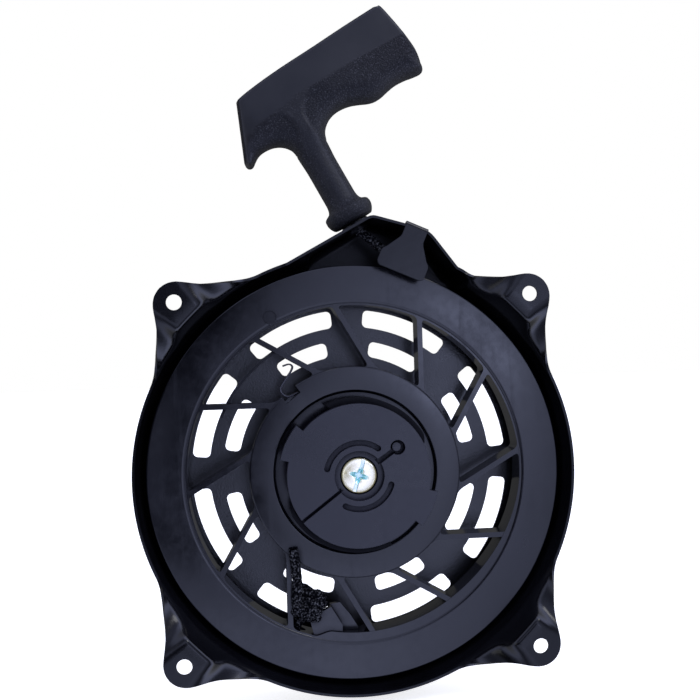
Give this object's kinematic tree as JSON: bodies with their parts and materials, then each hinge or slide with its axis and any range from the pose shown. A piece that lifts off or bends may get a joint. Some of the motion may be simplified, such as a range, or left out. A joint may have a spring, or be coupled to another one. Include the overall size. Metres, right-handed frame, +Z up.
{
  "type": "recoil starter",
  "caption": "Rope recoil starter: pressed steel cover with mounting ears, plastic pulley on a centre post, friction plate with pawls, return spring, wound rope and pull grip.",
  "frame": {"origin": "middle of the part's width and depth at its lowest point; the pulley axis is parallel to Y, 99.2 mm above it, and the ear faces are at Y = -21.7 mm", "axes": "-Y out of the open side, towards the engine; +Y towards the closed end of the cover; +Z up, on the side the rope leaves; +X right when looking into the open side"},
  "size_m": [0.1982, 0.0438, 0.3115],
  "materials": {
    "black_paint": "gloss black",
    "pulley_plastic": "moulded, fine texture",
    "plate_plastic": "moulded, satin",
    "grip_plastic": "moulded, part smooth and part textured",
    "zinc_steel": "bright zinc",
    "plain_steel": "bare",
    "spring_steel": "blued, oiled",
    "braided_rope": "braided, black"
  },
  "bodies": {
    "cover": {"housing": "black_paint", "rope_eyelet": "black_paint", "centre_post": "plain_steel", "centre_screw": "zinc_steel", "thrust_washer": "plain_steel", "rope_lead": "braided_rope"},
    "pulley_drum": {"pulley": "pulley_plastic", "spring_cover": "plain_steel", "recoil_spring": "spring_steel", "rope_coil": "braided_rope", "rope_knot": "braided_rope"},
    "drive_plate": {"friction_plate": "plate_plastic", "friction_spring": "spring_steel"},
    "pawl_one": {"pawl_a": "plate_plastic"},
    "pawl_two": {"pawl_b": "plate_plastic"},
    "rope_end": {"grip_rope": "braided_rope", "grip_knot": "braided_rope"},
    "handle": {"grip": "grip_plastic", "grip_insert": "plain_steel"}
  },
  "joints": [
    {"name": "pulley_spin", "type": "hinge", "parent": "cover", "child": "pulley_drum", "pos_m": [0, 0.0033, 0.0992], "axis": [0, -1, 0], "range_deg": [0, 1170], "stiffness_Nm_per_rad": 0.03, "springref_deg": -458.37, "deforming": ["recoil_spring", "rope_coil"]},
    {"name": "plate_turn", "type": "hinge", "parent": "pulley_drum", "child": "drive_plate", "pos_m": [0, -0.0167, 0.0992], "axis": [0, 1, 0], "range_deg": [0, 28]},
    {"name": "pawl_one_swing", "type": "hinge", "parent": "pulley_drum", "child": "pawl_one", "pos_m": [0.02468, -0.0087, 0.11345], "axis": [0, 1, 0], "range_deg": [0, 14]},
    {"name": "pawl_two_swing", "type": "hinge", "parent": "pulley_drum", "child": "pawl_two", "pos_m": [-0.02468, -0.0087, 0.08495], "axis": [0, 1, 0], "range_deg": [0, 14]},
    {"name": "handle_pull", "type": "slide", "parent": "cover", "child": "rope_end", "axis": [-0.4772, 0, 0.8788], "range_m": [0, 1.736]},
    {"name": "grip_twist", "type": "hinge", "parent": "rope_end", "child": "handle", "pos_m": [0.00389, 0.0022, 0.21191], "axis": [-0.4772, 0, 0.8788], "continuous": true}
  ],
  "couplings": [
    {"joint": "handle_pull", "follows": "pulley_spin", "m_per_rad": 0.085},
    {"joint": "pawl_one_swing", "follows": "plate_turn", "ratio": 0.5},
    {"joint": "pawl_two_swing", "follows": "plate_turn", "ratio": 0.5}
  ]
}
